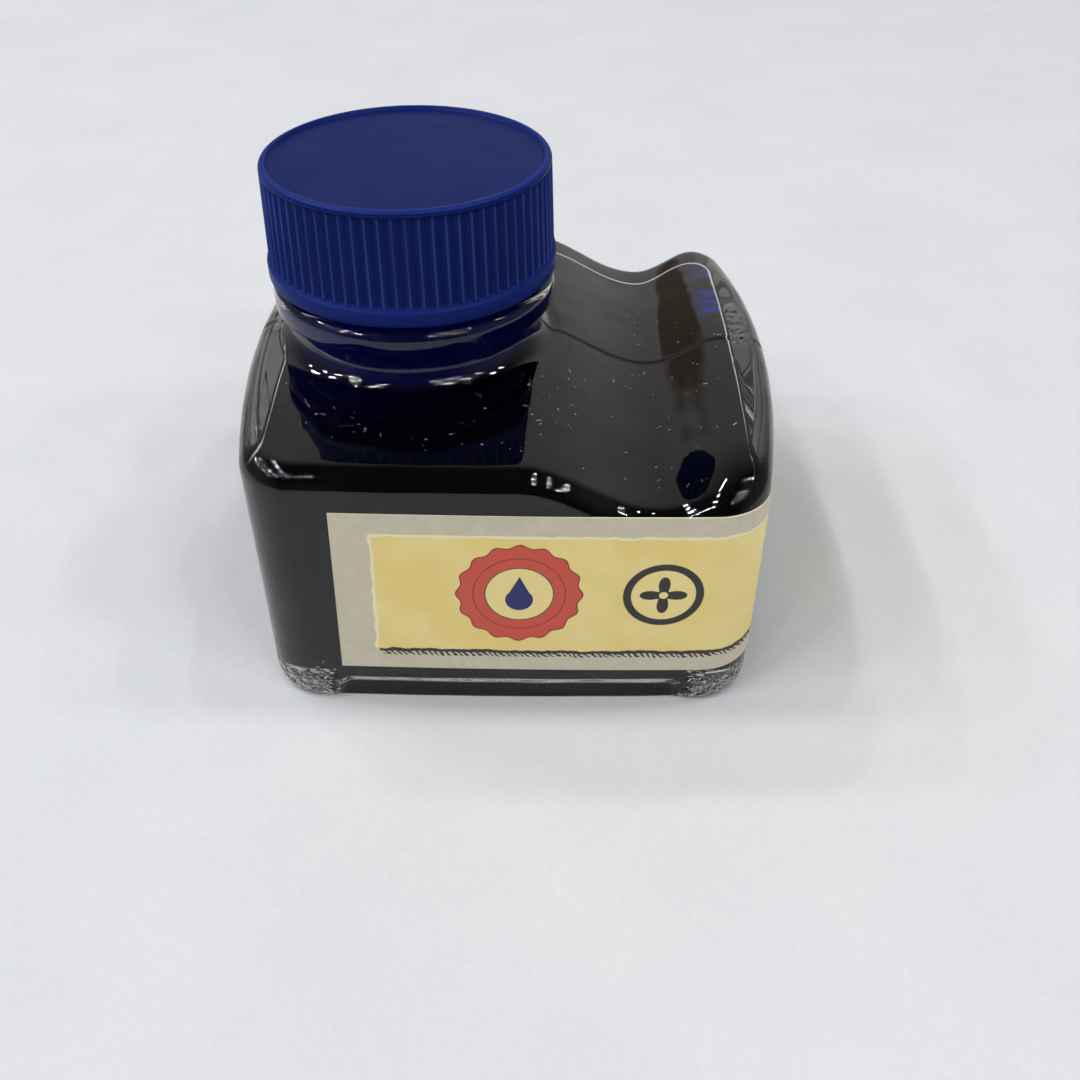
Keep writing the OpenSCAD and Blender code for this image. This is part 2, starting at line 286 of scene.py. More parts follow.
class Outline:
    """A rounded outline with bowed sides, seen from above."""

    def __init__(self, half_w, half_d, end_bow, face_bow, corner_r):
        self.half_w, self.half_d, self.corner_r = half_w, half_d, corner_r
        self.end_r = (half_d ** 2 + end_bow ** 2) / (2 * end_bow)
        self.face_r = (half_w ** 2 + face_bow ** 2) / (2 * face_bow)
        # The corner's centre lies where the insets of an end's arc and a face's arc cross
        end_x, face_y = self.half_w - self.end_r, self.half_d - self.face_r
        near_end, near_face = self.end_r - corner_r, self.face_r - corner_r
        gap = math.hypot(end_x, face_y)
        along = (near_end ** 2 - near_face ** 2 + gap ** 2) / (2 * gap)
        across = math.sqrt(near_end ** 2 - along ** 2)
        ux, uy = -end_x / gap, face_y / gap
        self.corner = (end_x + along * ux - across * uy, along * uy + across * ux)
        self.end_angle = math.atan2(self.corner[1], self.corner[0] - end_x)
        self.face_angle = math.atan2(self.corner[1] - face_y, self.corner[0])

    def quarter(self, q, inset):
        """A point of the rear right quarter: q is 0-1 on the end, 1-2 on the corner, then 2-3."""
        if q <= 1:
            centre, r, a = (self.half_w - self.end_r, 0), self.end_r, self.end_angle * q
        elif q <= 2:
            centre, r = self.corner, self.corner_r
            a = self.end_angle + (self.face_angle - self.end_angle) * (q - 1)
        else:
            centre, r = (0, self.half_d - self.face_r), self.face_r
            a = self.face_angle + (math.pi / 2 - self.face_angle) * (q - 2)
        return centre[0] + (r - inset) * math.cos(a), centre[1] + (r - inset) * math.sin(a)

    def at(self, place, inset=0.0):
        """A point of the whole loop: place runs 0-12, counter-clockwise from the right end's middle."""
        side, q = int(place / 3) % 4, place % 3
        x, y = self.quarter(q if side % 2 == 0 else 3 - q, inset)
        return (x if side in (0, 3) else -x), (y if side < 2 else -y)


def cavity_outline(swollen):
    """The cavity's ends are nearly straight, so the bowed ends of the body are thick in the middle."""
    cavity_bow, cavity_corner_r = 0.4, 5.0
    return Outline(half_w - end_wall + swollen, half_d - face_wall + swollen,
                   cavity_bow, face_bow, cavity_corner_r)


outer_outline = Outline(half_w, half_d, end_bow, face_bow, corner_r)

# The bottle is turned about its neck. Each step of the turn heads for a place on the outline,
# and the places are spread halfway between even angles and even distances.
bottle_steps = 400


def spread_places(count):
    fine_steps = 2400
    fine = [12 * k / fine_steps for k in range(fine_steps + 1)]
    points = [outer_outline.at(p % 12) for p in fine]
    turned, walked = [0.0], [0.0]
    for (ax, ay), (bx, by) in zip(points, points[1:]):
        a, b = math.atan2(ay, ax - neck_x), math.atan2(by, bx - neck_x)
        turned.append(turned[-1] + (b - a) % (2 * math.pi))
        walked.append(walked[-1] + math.hypot(bx - ax, by - ay))
    share = [(t / turned[-1] + w / walked[-1]) / 2 for t, w in zip(turned, walked)]
    places, k = [], 0
    for step in range(count):
        while share[k + 1] < step / count:
            k += 1
        part = (step / count - share[k]) / (share[k + 1] - share[k])
        places.append(fine[k] + part * (fine[k + 1] - fine[k]))
    return places


places = spread_places(bottle_steps)
headings = [math.atan2(y, x - neck_x) for x, y in (outer_outline.at(p) for p in places)]


def thread_bump(angle, z, start, height, width):
    """How far a helical ridge stands out at this angle and height."""
    run_in, flank = 0.08, 0.5
    turn = (angle / (2 * math.pi)) % 1.0
    out = 0.0
    for whole in range(int(thread_turns) + 1):
        progress = whole + turn
        if progress > thread_turns:
            continue
        off = abs(z - start - thread_pitch * progress)
        fade = swell(progress / run_in) * swell((thread_turns - progress) / run_in)
        out = max(out, height * fade * swell((width / 2 + 0.35 - off) / flank))
    return out


def on_circle(radius, z):
    def row(step):
        a = headings[step]
        return neck_x + radius * math.cos(a), radius * math.sin(a), z
    return row


def on_outline(outline, inset, z):
    """A row on the outline. The inset may change from place to place, and z with x and y."""
    def row(step):
        at = outline.at(places[step], inset(places[step]) if callable(inset) else inset)
        return at[0], at[1], (z(*at) if callable(z) else z)
    return row


def toward_neck(outline, inset, radius, share, z):
    """A row part of the way from the outline to a circle about the neck."""
    def row(step):
        at = outline.at(places[step], inset(places[step]) if callable(inset) else inset)
        a = headings[step]
        x = at[0] + (neck_x + radius * math.cos(a) - at[0]) * share
        y = at[1] + (radius * math.sin(a) - at[1]) * share
        return x, y, (z(x, y) if callable(z) else z)
    return row


def arc_steps(count):
    return [math.pi / 2 * k / count for k in range(count + 1)]


def wrapped_mesh(name, rows, steps, poles=True):
    """Wraps a grid round an upright axis: a column for each step of the turn, a row for each given row.

    With poles, the first and last rows close to a point. Without, the last row joins the first.
    """
    if not poles:
        rows = rows + rows[:1]
    bm = bmesh.new()
    bmesh.ops.create_grid(bm, x_segments=steps, y_segments=len(rows) - 1, size=1)
    first, last = [], []
    for v in bm.verts:
        step = round((v.co.x + 1) / 2 * steps) % steps
        k = round((v.co.y + 1) / 2 * (len(rows) - 1))
        if k == 0:
            first.append(v)
        elif k == len(rows) - 1:
            last.append(v)
        v.co = rows[k](step)
    if poles:
        for pole in (first, last):
            centre = sum((v.co for v in pole), Vector()) / len(pole)
            bmesh.ops.pointmerge(bm, verts=pole, merge_co=centre)
    bmesh.ops.remove_doubles(bm, verts=bm.verts, dist=0.0001)
    bmesh.ops.scale(bm, vec=(MM, MM, MM), verts=bm.verts)
    bmesh.ops.recalc_face_normals(bm, faces=bm.faces)
    for face in bm.faces:
        face.smooth = True
    mesh = bpy.data.meshes.new(name)
    bm.to_mesh(mesh)
    bm.free()
    return mesh


def new_piece(mesh, material, body, node):
    piece = bpy.data.objects.new(mesh.name, mesh)
    bpy.context.collection.objects.link(piece)
    mesh.materials.append(material)
    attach(piece, body)
    if node:
        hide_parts(node)
    return piece


def hollow_z(x, y):
    return hollow_depth * swell(1 - math.hypot(x, y) / hollow_r)


# Heel: the sides step in under an arris, and a rounded foot is left at each corner
heel_h, heel_in, heel_round = 4.2, 0.9, 0.1
foot_reach, foot_slant = 3.2, 1.8
foot_round_h, foot_round_in = 2.2, 1.0


def heel_inset(z, along_side, at_foot):
    def inset(place):
        x, y = outer_outline.at(place)
        past_corner = max(outer_outline.corner[0] - abs(x), outer_outline.corner[1] - abs(y))
        reach = foot_reach - foot_slant * (1 - z / heel_h)
        return at_foot + (along_side - at_foot) * swell((past_corner - reach) / 1.1 + 0.5)
    return inset


def bottle_outside():
    at_table = heel_inset(0.0, heel_in + heel_round, foot_round_in)
    # Rows crowd at the edge of the base, so that it shades flat right up to the heel
    rows = [toward_neck(outer_outline, at_table, 0.2, s, hollow_z)
            for s in (1, 0.9, 0.8, 0.7, 0.6, 0.5, 0.4, 0.3, 0.2, 0.1, 0.04, 0.01)]
    for t in arc_steps(6):
        z = foot_round_h * (1 - math.cos(t))
        at_side = heel_in + heel_round * (1 - math.sin(min(z / heel_round, 1) * math.pi / 2))
        at_foot = foot_round_in * (1 - math.sin(t))
        rows.append(on_outline(outer_outline, heel_inset(z, at_side, at_foot), z))
    arris_r = heel_in - 0.05
    for t in reversed(arc_steps(7)):
        z = heel_h - arris_r * math.sin(t)
        rows.append(on_outline(outer_outline, heel_inset(z, arris_r * (1 - math.cos(t)), 0.0), z))
    wall_rows = 8
    for k in range(1, wall_rows):
        rows.append(on_outline(outer_outline, 0.0, lambda x, y, share=k / wall_rows:
                               heel_h + (shoulder_z(x, y) - edge_r - heel_h) * share))
    for t in arc_steps(8):
        rows.append(on_outline(outer_outline, edge_r * (1 - math.cos(t)),
                               lambda x, y, t=t: shoulder_z(x, y) - edge_r * (1 - math.sin(t))))
    shoulder_rows = 26
    rows += [toward_neck(outer_outline, edge_r, neck_r + neck_fillet, k / shoulder_rows, shoulder_z)
             for k in range(1, shoulder_rows + 1)]

    def fillet_row(t):
        r = neck_r + neck_fillet * (1 - math.sin(t))

        def row(step):
            a = headings[step]
            foot = shoulder_z(neck_x + (r + 1) * math.cos(a), (r + 1) * math.sin(a))
            z = foot + neck_fillet * (1 - math.cos(t))
            return neck_x + r * math.cos(a), r * math.sin(a), z
        return row

    rows += [fillet_row(t) for t in arc_steps(6)[1:]]
    return rows


def bottle_neck():
    under_bead, low_round, high_round, over_bead, lip_round = 0.3, 0.7, 1.3, 0.4, 0.9
    rows = [on_circle(neck_r, bead_z - 0.5)]
    rows += [on_circle(neck_r + under_bead * (1 - math.cos(t)),
                       bead_z - under_bead + under_bead * math.sin(t)) for t in arc_steps(2)]
    rows += [on_circle(bead_r - low_round * (1 - math.sin(t)),
                       bead_z + low_round * (1 - math.cos(t))) for t in arc_steps(5)]
    rows += [on_circle(bead_r - high_round * (1 - math.cos(t)),
                       bead_top_z - high_round * (1 - math.sin(t))) for t in arc_steps(6)]
    rows += [on_circle(finish_r + over_bead * (1 - math.sin(t)),
                       bead_top_z + over_bead * (1 - math.cos(t))) for t in arc_steps(3)]
    low, high = bead_top_z + over_bead, lip_z - lip_round

    def threaded(z):
        def row(step):
            a = headings[step]
            r = finish_r + thread_bump(a, z, thread_z, thread_height, thread_width)
            return neck_x + r * math.cos(a), r * math.sin(a), z
        return row

    thread_rows = 32
    rows += [threaded(low + (high - low) * k / thread_rows) for k in range(1, thread_rows)]
    rows += [on_circle(finish_r - lip_round * (1 - math.cos(t)), high + lip_round * math.sin(t))
             for t in arc_steps(5)]
    rows += [on_circle(mouth_r + lip_round * (1 - math.sin(t)), lip_z - lip_round * (1 - math.cos(t)))
             for t in arc_steps(5)]
    return rows


def cavity_rows(outline, swollen):
    """Rows from the root of the mouth to the middle of the floor, swollen outwards by a hair."""
    root_r, edge, floor_r = 2.4, 2.0, 1.6
    left_x = -14.0
    radius = mouth_r + swollen

    def ceiling_z(x, y):
        wall = left_wall + (flat_wall - left_wall) * swell((x - left_x) / -left_x)
        wall += (top_wall - flat_wall) * swell((x - groove_start_x) / (groove_x - groove_start_x))
        wall += (ridge_wall - top_wall) * swell((x - groove_x) / (crest_x - groove_x))
        return shoulder_z(x, y) - wall + swollen

    def root_row(t):
        def row(step):
            a = headings[step]
            r = radius + root_r * (1 - math.cos(t))
            z = ceiling_z(neck_x + (radius + root_r) * math.cos(a), (radius + root_r) * math.sin(a))
            return neck_x + r * math.cos(a), r * math.sin(a), z + root_r * (1 - math.sin(t))
        return row

    rows = [root_row(t) for t in arc_steps(6)]
    ceiling_rows = 24
    rows += [toward_neck(outline, edge, radius + root_r, 1 - k / ceiling_rows, ceiling_z)
             for k in range(1, ceiling_rows)]
    for t in arc_steps(6):
        rows.append(on_outline(outline, edge * (1 - math.sin(t)),
                               lambda x, y, t=t: ceiling_z(x, y) - edge * (1 - math.cos(t))))
    bottom, wall_rows = floor_t - swollen, 7
    for k in range(1, wall_rows):
        rows.append(on_outline(outline, 0.0, lambda x, y, share=k / wall_rows: ceiling_z(x, y) - edge
                               - (ceiling_z(x, y) - edge - bottom - floor_r) * share))
    rows += [on_outline(outline, floor_r * (1 - math.cos(t)), bottom + floor_r * (1 - math.sin(t)))
             for t in arc_steps(6)]
    rows += [toward_neck(outline, floor_r, 0.2, s, bottom) for s in (0.25, 0.5, 0.75, 1)]
    return rows


# Bumps that several finishes share: a broad waviness and a fine grain, in metres
relief, wiring, given, result = new_group(
    "Moulded relief",
    {"Place": ("Vector", None), "Broad": ("Float", 0.0), "Broad Size": ("Float", 60.0),
     "Fine": ("Float", 0.0), "Fine Size": ("Float", 1500.0)},
    {"Height": "Float"})
layers = []
for depth, size in (("Broad", "Broad Size"), ("Fine", "Fine Size")):
    noise = wiring.node("TexNoise")
    wiring.feed(noise.inputs["Vector"], given["Place"])
    wiring.feed(noise.inputs["Scale"], given[size])
    noise.inputs["Detail"].default_value = 2.0
    layers.append(wiring.math("MULTIPLY", noise.outputs["Fac"], given[depth]))
wiring.feed(result["Height"], wiring.math("ADD", *layers))

glass, wiring, shader, place = new_material("Clear glass")
axis = wiring.node("SeparateXYZ")
wiring.feed(axis.inputs[0], place)
# Stippled feet: the mould is roughened into crystals at the four corners of the base. Each of the
# patch's three limits fades over about a millimetre.
crystals_per_m, pit_depth = 1100.0, 0.00035
patch_top, patch_x, patch_y = (0.0034, 0.0044), (0.0213, 0.0226), (0.0203, 0.0216)
low_down = wiring.between(axis.outputs["Z"], *patch_top, 1.0, 0.0)
far_x = wiring.between(wiring.math("ABSOLUTE", axis.outputs["X"]), *patch_x)
far_y = wiring.between(wiring.math("ABSOLUTE", axis.outputs["Y"]), *patch_y)
foot = wiring.math("MULTIPLY", low_down, wiring.math("MULTIPLY", far_x, far_y))
stipple = wiring.node("TexVoronoi")
wiring.feed(stipple.inputs["Vector"], place)
stipple.inputs["Scale"].default_value = crystals_per_m
pits = wiring.math("MULTIPLY", wiring.math("MULTIPLY", stipple.outputs["Distance"], foot), pit_depth)
# Mould seam: the two halves of the mould meet in a step too low to feel
seam_half_w, seam_step = 0.0006, 0.0002
seam = wiring.between(axis.outputs["Y"], -seam_half_w, seam_half_w, 0.0, seam_step)
# The front edge and the root of the neck cooled uneven, which breaks up the lamps' reflections
uneven_depth = 0.000004
front_edge = wiring.between(axis.outputs["Y"], -0.0287, -0.0275, 1.0, 0.0)
shoulder_top = shoulder_h + crown
neck_root = wiring.between(axis.outputs["Z"], (shoulder_top + 0.1) * MM, (shoulder_top + 0.5) * MM)
uneven = wiring.math("MULTIPLY", wiring.math("MAXIMUM", front_edge, neck_root), uneven_depth)
waviness = wiring.group(relief, Place=place, Broad=0.0004, Broad_Size=75.0,
                        Fine=uneven, Fine_Size=2600.0)
height = wiring.math("ADD", wiring.math("ADD", pits, seam), waviness["Height"])
wiring.feed(shader.inputs["Normal"], wiring.bump(height))
wiring.feed(shader.inputs["Roughness"], wiring.math("ADD", wiring.math("MULTIPLY", foot, 0.04), 0.01))
shader.inputs["Base Color"].default_value = (0.93, 0.96, 0.945, 1)
shader.inputs["IOR"].default_value = 1.5
shader.inputs["Transmission Weight"].default_value = 1.0

bottle_rows = bottle_outside() + bottle_neck() + cavity_rows(cavity_outline(0.0), 0.0)
glass_mesh = wrapped_mesh("glass_body", bottle_rows, bottle_steps)
new_piece(glass_mesh, glass, "bottle", "glass_bottle")


# ---------------------------------------------------------------- Ink
# Royal blue ink, near black in depth. It fills the body to the root of the neck, wets the glass
# without a gap, and leaves a thin blue film on the wall of the neck above it.
ink_z = node_box("ink")[1].z
wetting = 0.03
# Near-black ink, and the bright blue of the painted glow where it lies thin
black_ink, painted_glow_blue = (0.0012, 0.001, 0.002, 1), (0.010, 0.014, 0.30, 1)

ink_material, wiring, shader, place = new_material("Ink")
axis = wiring.node("SeparateXYZ")
wiring.feed(axis.inputs[0], place)
# Where the ink lies thin, over the ridge and at the root of the neck, it is painted a bright blue: a
# painted glow for light shining through the thin ink
streaks = wiring.noise(place, 420.0, 3.0, 0.6)
wandering = wiring.math("ADD", axis.outputs["Y"], wiring.math("MULTIPLY", streaks, 0.004))
patch = wiring.math("MULTIPLY", wiring.between(wandering, 0.0095, 0.0110),
                    wiring.between(wandering, 0.0165, 0.0175, 1.0, 0.0))
rear_end = wiring.math("MULTIPLY", wiring.between(wandering, 0.0205, 0.0225), 0.6)
high_up = wiring.between(axis.outputs["Z"], 0.0262, 0.0278)
under_ridge = wiring.math("MULTIPLY", high_up, wiring.between(axis.outputs["X"], 0.0238, 0.0252))
streaked = wiring.math("MULTIPLY", wiring.math("MAXIMUM", patch, rear_end),
                       wiring.between(streaks, 0.35, 0.6, 0.25, 1.0))
ridge_glow = wiring.math("MULTIPLY", under_ridge, streaked)
neck_glow = wiring.between(axis.outputs["Z"], 0.0310, 0.0330, 0.0, 0.3)
painted_glow = wiring.math("MAXIMUM", ridge_glow, neck_glow)
# Painted glow: bright blue mixed into the ink's colour over the ridge and at the neck's root
wiring.feed(shader.inputs["Base Color"], wiring.mix(painted_glow, black_ink, painted_glow_blue))
shader.inputs["Roughness"].default_value = 0.18
shader.inputs["Specular IOR Level"].default_value = 0.0
# Seen at a slant through the glass, the upper wall of the ink is a mirror, and so is its floor
floor_share = 0.9
slant = wiring.node("LayerWeight")
slant.inputs["Blend"].default_value = 0.5
mirror = wiring.between(slant.outputs["Facing"], 0.47, 0.54)
ink_floor = wiring.between(axis.outputs["Z"], (floor_t + 0.1) * MM, (floor_t + 0.5) * MM,
                           floor_share, 0.0)
shiny = wiring.math("ADD", ink_floor, wiring.between(axis.outputs["Z"], 0.012, 0.018))
wiring.feed(shader.inputs["Coat Weight"], wiring.math("MULTIPLY", mirror, shiny))
shader.inputs["Coat Roughness"].default_value = 0.03
shader.inputs["Coat IOR"].default_value = 20.0

ink_rows = [on_circle(0.3, ink_z), on_circle(5.0, ink_z), on_circle(9.0, ink_z)]
ink_rows += [on_circle(mouth_r - 1.0 + t, ink_z + 0.3 * t ** 2) for t in (0.3, 0.6, 0.9)]
ink_rows += [on_circle(mouth_r + wetting, ink_z + 0.35)]
ink_rows += cavity_rows(cavity_outline(wetting), wetting)
new_piece(wrapped_mesh("ink_fill", ink_rows, bottle_steps), ink_material, "bottle", "ink")

# The film is thicker where it ran down
film_material, wiring, shader, place = new_material("Ink film")
shader.inputs["Specular IOR Level"].default_value = 0.0
runs = wiring.noise(place, 170.0, 4.0, 0.65)
thinner = wiring.between(runs, 0.35, 0.7)
wiring.feed(shader.inputs["Base Color"],
            wiring.mix(thinner, (0.004, 0.005, 0.17, 1), (0.008, 0.009, 0.26, 1)))
wiring.feed(shader.inputs["Roughness"], wiring.between(runs, 0.3, 0.7, 0.3, 0.4))
wiring.feed(shader.inputs["Normal"], wiring.bump(runs, 0.00002))

film_low, film_top = ink_z + 0.4, lip_z - 1.2
film_r, film_in = mouth_r + 0.02, mouth_r - 0.06
film_rows = [on_circle(film_in, film_low + 0.1), on_circle(film_r, film_low),
             on_circle(film_r, film_top), on_circle(film_in, film_top + 0.1)]
film_mesh = wrapped_mesh("ink_film", film_rows, bottle_steps, poles=False)
new_piece(film_mesh, film_material, "bottle", None)


# ---------------------------------------------------------------- Dust
# Short hairs of lint and specks of dust from the air and the felt. They lie loose on the
# shoulder, thickest towards the front.
scatter = random.Random(11)
lint_count = 150
lint_width, lint_height = 0.055, 0.03
bm = bmesh.new()
while lint_count:
    x, y = scatter.uniform(-27, 27), 27 - 53 * math.sqrt(scatter.random())
    if math.hypot(x - neck_x, y) < neck_r + neck_fillet + 1 or (abs(x) > 22 and abs(y) > 22):
        continue
    length = scatter.choice((0.1, 0.14, 0.2, 0.3, 0.6))
    rise = math.atan(shoulder_z(x + 0.5, y) - shoulder_z(x - 0.5, y))
    turn = Matrix.Rotation(-rise, 4, "Y") @ Matrix.Rotation(scatter.uniform(0, math.pi), 4, "Z")
    size = Matrix.Diagonal((length, lint_width, lint_height, 1))
    spot = Matrix.Translation((x, y, shoulder_z(x, y) + 0.02))
    bmesh.ops.create_cube(bm, size=1, matrix=spot @ turn @ size)
    lint_count -= 1
bmesh.ops.scale(bm, vec=(MM, MM, MM), verts=bm.verts)
lint_mesh = bpy.data.meshes.new("lint")
bm.to_mesh(lint_mesh)
bm.free()
lint_material, wiring, shader, place = new_material("Lint")
wiring.feed(shader.inputs["Base Color"],
            wiring.mix(wiring.between(wiring.noise(place, 250.0), 0.35, 0.65),
                       (0.08, 0.08, 0.085, 1), (0.60, 0.60, 0.62, 1)))
shader.inputs["Roughness"].default_value = 0.9
new_piece(lint_mesh, lint_material, "bottle", None)


# ---------------------------------------------------------------- Screw cap
# A compression-moulded cap in navy plastic: fluted skirt over a plain band, a rounded rim round a
# dished disc, and inside it the thread that runs on the neck's.
flutes = 72
flute_points = 8
cap_steps = flutes * flute_points
cap_z, cap_top_z = cap_low.z, cap_high.z
cap_r = (cap_high.x - cap_low.x) / 2
skirt_r = cap_r - 0.25
rim_r = 0.5
rim_edge_r = skirt_r - 0.3
dish_r = rim_edge_r - rim_r - 0.2
dish_depth = 0.4
flute_depth = 0.5
band_top = cap_z + 1.8
flute_top = cap_top_z - rim_r - 0.1
cap_bore_r = cap_r - 2.0
cap_thread_height, cap_thread_width = 0.95, 1.1
ceiling_z = node_box("cap_liner")[1].z


def cap_row(radius, z, thread=0.0, flute=0.0):
    """A row of the cap. thread is the height of the thread inside, flute the depth of the flutes."""
    def row(step):
        a = 2 * math.pi * step / cap_steps
        r = radius
        if flute:
            across = (step % flute_points) / flute_points * 2 - 1
            r -= flute * (1 - abs(across) ** 2.6)
        if thread:
            r -= thread_bump(a, z, thread_z - thread_pitch / 2, thread, cap_thread_width)
        return neck_x + r * math.cos(a), r * math.sin(a), z
    return row


def skirt_row(z):
    """Flutes keep their depth along the skirt and round out at both ends."""
    part = (z - band_top) / (flute_top - band_top)
    ends = min(1.0, (z - band_top) / 0.45, (flute_top - z) / 0.5)
    ends = math.sqrt(max(0.0, 1 - (1 - max(ends, 0.0)) ** 2))
    return cap_row(skirt_r + (rim_edge_r - skirt_r) * part, z, flute=flute_depth * ends)


cap_rows = [cap_row(r, cap_top_z - dish_depth)
            for r in (0.2, 4.0, 8.0, 12.0, dish_r - dish_depth - 0.3)]
cap_rows += [cap_row(dish_r - dish_depth * (1 - math.sin(t)) - 0.1,
                     cap_top_z - dish_depth * math.cos(t)) for t in arc_steps(4)]
cap_rows += [cap_row(rim_edge_r - rim_r * (1 - math.sin(t)), cap_top_z - rim_r * (1 - math.cos(t)))
             for t in arc_steps(6)]
skirt_rows = 15
for k in range(skirt_rows + 1):
    near_end = (1 - math.cos(math.pi * k / skirt_rows)) / 2
    cap_rows.append(skirt_row(flute_top + (band_top - flute_top) * near_end))
band_edge = 0.25
cap_rows += [cap_row(cap_r - band_edge * (1 - math.sin(t)), band_top - band_edge * (1 - math.cos(t)))
             for t in arc_steps(3)]
cap_rows += [cap_row(cap_r - band_edge * (1 - math.cos(t)), cap_z + band_edge * (1 - math.sin(t)))
             for t in arc_steps(3)]
cap_rows += [cap_row(cap_bore_r + band_edge * (1 - math.sin(t)), cap_z + band_edge * (1 - math.cos(t)))
             for t in arc_steps(2)]
inside_rows = 30
inside_z, inside_h = cap_z + band_edge, ceiling_z - cap_z - band_edge - 0.3
cap_rows += [cap_row(cap_bore_r, inside_z + inside_h * k / inside_rows, thread=cap_thread_height)
             for k in range(1, inside_rows + 1)]
cap_rows += [cap_row(r, ceiling_z) for r in (cap_bore_r - 0.3, 8.0, 0.2)]

plastic, wiring, shader, place = new_material("Navy plastic")
# Moulded plastic is a little uneven in tone and gloss. The crests between the flutes get a painted
# highlight that varies at random, and the floors of the flutes and the dished top disc a painted shade.
cloud = wiring.noise(place, 120.0, 3.0, 0.6)
tone = wiring.mix(cloud, (0.005, 0.016, 0.122, 1), (0.007, 0.019, 0.140, 1))
centred = wiring.node("Mapping")
centred.inputs["Location"].default_value = (-neck_x * MM, 0, 0)
wiring.feed(centred.inputs["Vector"], place)
axis = wiring.node("SeparateXYZ")
wiring.feed(axis.inputs[0], centred.outputs[0])
turn = wiring.math("ARCTAN2", axis.outputs["Y"], axis.outputs["X"])
around = wiring.math("COSINE", wiring.math("MULTIPLY", turn, float(flutes)))
low_end = wiring.between(axis.outputs["Z"], (band_top + 0.1) * MM, (band_top + 0.5) * MM)
high_end = wiring.between(axis.outputs["Z"], (flute_top - 0.4) * MM, flute_top * MM, 1.0, 0.0)
fluted = wiring.math("MULTIPLY", low_end, high_end)
ridge = wiring.math("MULTIPLY", wiring.between(around, 0.75, 0.98), fluted)
valley_painted_shade = wiring.math("MULTIPLY", wiring.between(around, -0.9, 0.2, 1.0, 0.0), fluted)
dished = wiring.between(axis.outputs["Z"], (cap_top_z - 0.35) * MM, (cap_top_z - 0.2) * MM, 1.0, 0.0)
above_skirt = wiring.between(axis.outputs["Z"], (cap_top_z - 0.45) * MM, (cap_top_z - 0.42) * MM)
top_painted_shade = wiring.math("MULTIPLY", dished, above_skirt)
# Painted shade: the dished disc of the top is darkened
tone = wiring.mix(wiring.math("MULTIPLY", top_painted_shade, 0.55), tone, (0.0, 0.002, 0.03, 1))
# Painted shade: the floors of the flutes are darkened
tone = wiring.mix(wiring.math("MULTIPLY", valley_painted_shade, 0.4), tone, (0.001, 0.003, 0.035, 1))
# Painted highlight: the crests between the flutes are paler
painted_ridge_highlight = wiring.math("MULTIPLY", ridge, wiring.between(cloud, 0.3, 0.7, 0.35, 0.9))
tone = wiring.mix(painted_ridge_highlight, tone, (0.035, 0.055, 0.23, 1))
wiring.feed(shader.inputs["Base Color"], tone)
wiring.feed(shader.inputs["Roughness"], wiring.between(cloud, 0.2, 0.8, 0.34, 0.46))
grain = wiring.group(relief, Place=place, Broad=0.00012, Broad_Size=70.0,
                     Fine=0.000012, Fine_Size=2600.0)
wiring.feed(shader.inputs["Normal"], wiring.bump(grain["Height"]))
shader.inputs["IOR"].default_value = 1.49
shader.inputs["Specular IOR Level"].default_value = 0.05

new_piece(wrapped_mesh("cap_moulding", cap_rows, cap_steps), plastic, "cap", "screw_cap")


# ---------------------------------------------------------------- Sealing disc
# A loose disc of foam that the cap presses on the lip. The lip prints a ring into it, and ink
# stains the middle.
liner_low, liner_high = node_box("cap_liner")
liner_r = (liner_high.x - liner_low.x) / 2
liner_round = 0.2
lip_mid_r = (mouth_r + finish_r) / 2
print_depth, print_half_w = 0.12, 1.6


def pressed(radius, z):
    """The lip's print, a shallow ring in the underside."""
    return z + print_depth * swell(1 - abs(radius - lip_mid_r) / print_half_w)


disc_rows = [on_circle(r, pressed(r, liner_low.z))
             for r in (0.2, 5.0, 9.0, 10.4, 11.0, 11.5, 12.0, 12.5, 13.0, 13.6)]
disc_rows += [on_circle(liner_r - liner_round * (1 - math.sin(t)),
                        liner_low.z + liner_round * (1 - math.cos(t))) for t in arc_steps(3)]
disc_rows += [on_circle(liner_r - liner_round * (1 - math.cos(t)),
                        liner_high.z - liner_round * (1 - math.sin(t))) for t in arc_steps(3)]
disc_rows += [on_circle(r, liner_high.z) for r in (8.0, 0.2)]

foam, wiring, shader, place = new_material("Seal foam")
centred = wiring.node("Mapping")
centred.inputs["Location"].default_value = (-neck_x * MM, 0, 0)
wiring.feed(centred.inputs["Vector"], place)
flat = wiring.node("SeparateXYZ")
wiring.feed(flat.inputs[0], centred.outputs[0])
radius = wiring.math("SQRT", wiring.math("ADD", wiring.math("POWER", flat.outputs["X"], 2.0),
                                         wiring.math("POWER", flat.outputs["Y"], 2.0)))
ragged = wiring.math("ADD", radius, wiring.math("MULTIPLY", wiring.noise(place, 300.0, 3.0), 0.0016))
stain = wiring.between(ragged, 0.0108, 0.0118, 1.0, 0.0)
wiring.feed(shader.inputs["Base Color"],
            wiring.mix(stain, (0.72, 0.71, 0.66, 1), (0.02, 0.025, 0.22, 1)))
shader.inputs["Roughness"].default_value = 0.6
cells = wiring.group(relief, Place=place, Broad=0.00008, Broad_Size=200.0,
                     Fine=0.00002, Fine_Size=3500.0)
wiring.feed(shader.inputs["Normal"], wiring.bump(cells["Height"]))

new_piece(wrapped_mesh("seal_disc", disc_rows, bottle_steps), foam, "seal", "cap_liner")


# ---------------------------------------------------------------- Label
# Coated paper glued round the front, the right corner and most of the right end. It is printed
# with a deckle-edged cream panel, a red seal with a drop, a dark ring and a hatched ground line.
label_low, label_high = node_box("label")
glue_t, paper_t = 0.02, 0.15
label_left = label_low.x
label_rear = label_high.y


